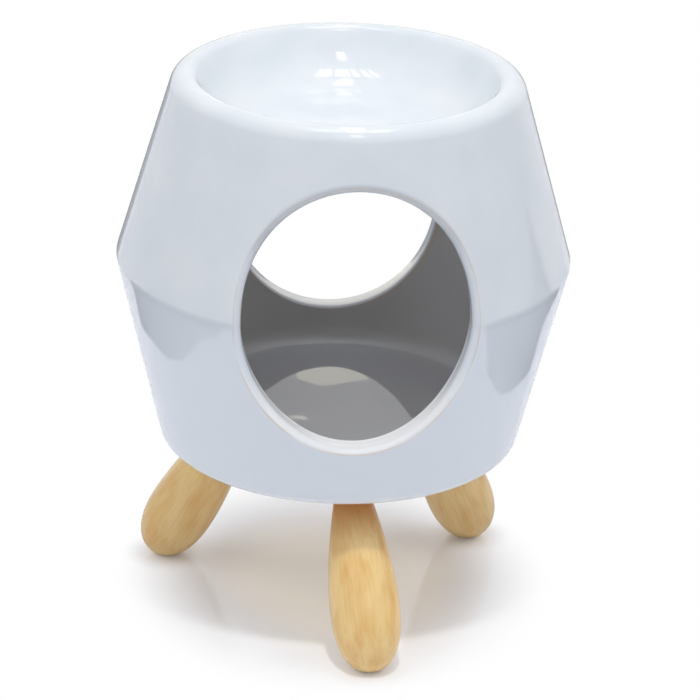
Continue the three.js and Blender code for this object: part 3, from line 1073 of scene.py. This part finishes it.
# A rectangular area light that the camera doesn't see; size is its width and length
def addLight(name, place, aim, power, size, mirrored, lights):
    light = bpy.data.lights.new(name, "AREA")
    light.shape = "RECTANGLE"
    light.size = size[0] * mm
    light.size_y = size[1] * mm
    light.energy = power
    light.color = linearColour(studio["lightColour"])[:3]
    holder = addObject(name, light)
    holder.location = place * mm
    holder.rotation_euler = (place - aim).to_track_quat("Z", "Y").to_euler()
    holder.visible_camera = False
    holder.visible_glossy = mirrored
    holder.visible_diffuse = lights


def direction(bearing, elevation):
    turn = math.radians(bearing)
    rise = math.radians(elevation)
    return Vector((math.cos(turn) * math.cos(rise), math.sin(turn) * math.cos(rise), math.sin(rise)))


def buildLights():
    aim = Vector((0, 0, studio["aimHeight"]))
    for name, lamp in lamps.items():
        place = aim + direction(-90, lamp["elevation"]) * studio["lampDistance"]
        place.x += lamp["place"]
        size = (lamp["width"], lamp["length"])
        addLight(name, place, aim, lamp["power"], size, lamp["mirrored"], lamp["lights"])
    row = aim + direction(-90, lampRow["elevation"]) * studio["lampDistance"]
    for shift, width in lampRowWidths.items():
        aside = Vector((shift, 0, 0))
        power = lampRow["radiance"] * math.pi * width * mm * lampRow["length"] * mm
        addLight("rowLamp", row + aside, aim + aside, power, (width, lampRow["length"]), True, False)
    for name, box in softBoxes.items():
        place = aim + direction(box["bearing"], box["elevation"]) * studio["boxDistance"]
        power = box["radiance"] * math.pi * box["width"] * mm * box["height"] * mm
        addLight(name, place, aim, power, (box["width"], box["height"]), False, True)


# The room: white for the camera, an even light for the pieces, and for the glaze's
# reflections dimmer at the sides than above and behind
def buildRoom():
    world = bpy.data.worlds.new("room")
    bpy.context.scene.world = world
    world.use_nodes = True
    tree = world.node_tree
    light = tree.nodes["Background"]
    light.inputs["Color"].default_value = linearColour(studio["roomColour"])
    light.inputs["Strength"].default_value = studio["roomLight"]
    way = addNode(tree, "ShaderNodeTexCoord").outputs["Generated"]
    axes = addNode(tree, "ShaderNodeSeparateXYZ", {0: way})
    above = addNode(tree, "ShaderNodeMapRange", {
        "Value": axes.outputs["Z"], "From Min": 0.15, "From Max": 0.6,
    }, interpolation_type="SMOOTHSTEP")
    behind = addNode(tree, "ShaderNodeMapRange", {
        "Value": axes.outputs["Y"], "From Min": 0.3, "From Max": 0.9,
    }, interpolation_type="SMOOTHSTEP")
    bright = addNode(tree, "ShaderNodeMath", {
        0: above.outputs["Result"], 1: behind.outputs["Result"],
    }, operation="MAXIMUM")
    strength = addNode(tree, "ShaderNodeMapRange", {
        "Value": bright.outputs[0],
        "To Min": studio["mirroredRoom"], "To Max": studio["mirroredSky"],
    })
    mirror = addNode(tree, "ShaderNodeBackground", {
        "Color": (1, 1, 1, 1), "Strength": strength.outputs["Result"],
    })
    white = addNode(tree, "ShaderNodeBackground", {"Color": (1, 1, 1, 1), "Strength": 1.0})
    path = addNode(tree, "ShaderNodeLightPath")
    mirrored = addNode(tree, "ShaderNodeMixShader", {
        0: path.outputs["Is Glossy Ray"], 1: light.outputs[0], 2: mirror.outputs[0],
    })
    seen = addNode(tree, "ShaderNodeMixShader", {
        0: path.outputs["Is Camera Ray"], 1: mirrored.outputs[0], 2: white.outputs[0],
    })
    tree.links.new(seen.outputs[0], tree.nodes["World Output"].inputs["Surface"])


# The camera stands where the photograph was taken from: a long lens, looking down at the
# front and turned a few degrees past the openings' own axis. Angles are in radians.
camera = {
    "distance": 699.8,
    "height": 356.3,
    "pitch": 0.402,
    "roll": -0.030,
    "yaw": 0.003,
    "turn": 0.077,
    "focalPixels": 3369.667,
    "framePixels": 700,
}


def buildCamera():
    c = camera
    lens = bpy.data.cameras.new("camera")
    lens.sensor_width = 36
    lens.lens = c["focalPixels"] / c["framePixels"] * lens.sensor_width
    lens.clip_start = 0.01
    lens.clip_end = 20
    holder = addObject("camera", lens)
    forward = Matrix.Rotation(-c["yaw"], 3, "Z") @ Vector((0, math.cos(c["pitch"]), -math.sin(c["pitch"])))
    up = Matrix.Rotation(-c["yaw"], 3, "Z") @ Vector((0, math.sin(c["pitch"]), math.cos(c["pitch"])))
    right = forward.cross(up)
    rolledRight = math.cos(c["roll"]) * right - math.sin(c["roll"]) * up
    rolledUp = math.sin(c["roll"]) * right + math.cos(c["roll"]) * up
    turn = Matrix.Rotation(-c["turn"], 3, "Z")
    axes = Matrix((turn @ rolledRight, turn @ rolledUp, turn @ -forward)).transposed()
    place = turn @ Vector((0, -c["distance"], c["height"])) + bodyAxis
    holder.matrix_world = Matrix.Translation(place * mm) @ axes.to_4x4()
    bpy.context.scene.camera = holder


# Glaze all over, but for bare clay under the base and in the sockets
def dressBody(body):
    mesh = body.data
    mesh.materials.clear()
    mesh.materials.append(glazeMaterial())
    mesh.materials.append(bisqueMaterial())
    bareBelow = (underside + 0.01) * mm
    for face in mesh.polygons:
        bare = face.material_index == socketFace or face.center.z < bareBelow
        face.material_index = 1 if bare else 0


bpy.context.scene.view_settings.view_transform = "Standard"
buildCamera()
buildFloor()
buildCards()
buildScraps()
buildLights()
buildRoom()
print("studio built")

body = buildBody()
dressBody(body)
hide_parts("burner_body")
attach(body, "root")
print("body dressed")

turnedLeg = legTree(woodMaterial())
for number, node in enumerate(legNames):
    leg = buildLeg(turnedLeg, node.replace("leg_", "turnedLeg_"), number)
    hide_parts(node)
    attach(leg, "root")
    print(node, "turned:", len(leg.data.polygons), "faces")
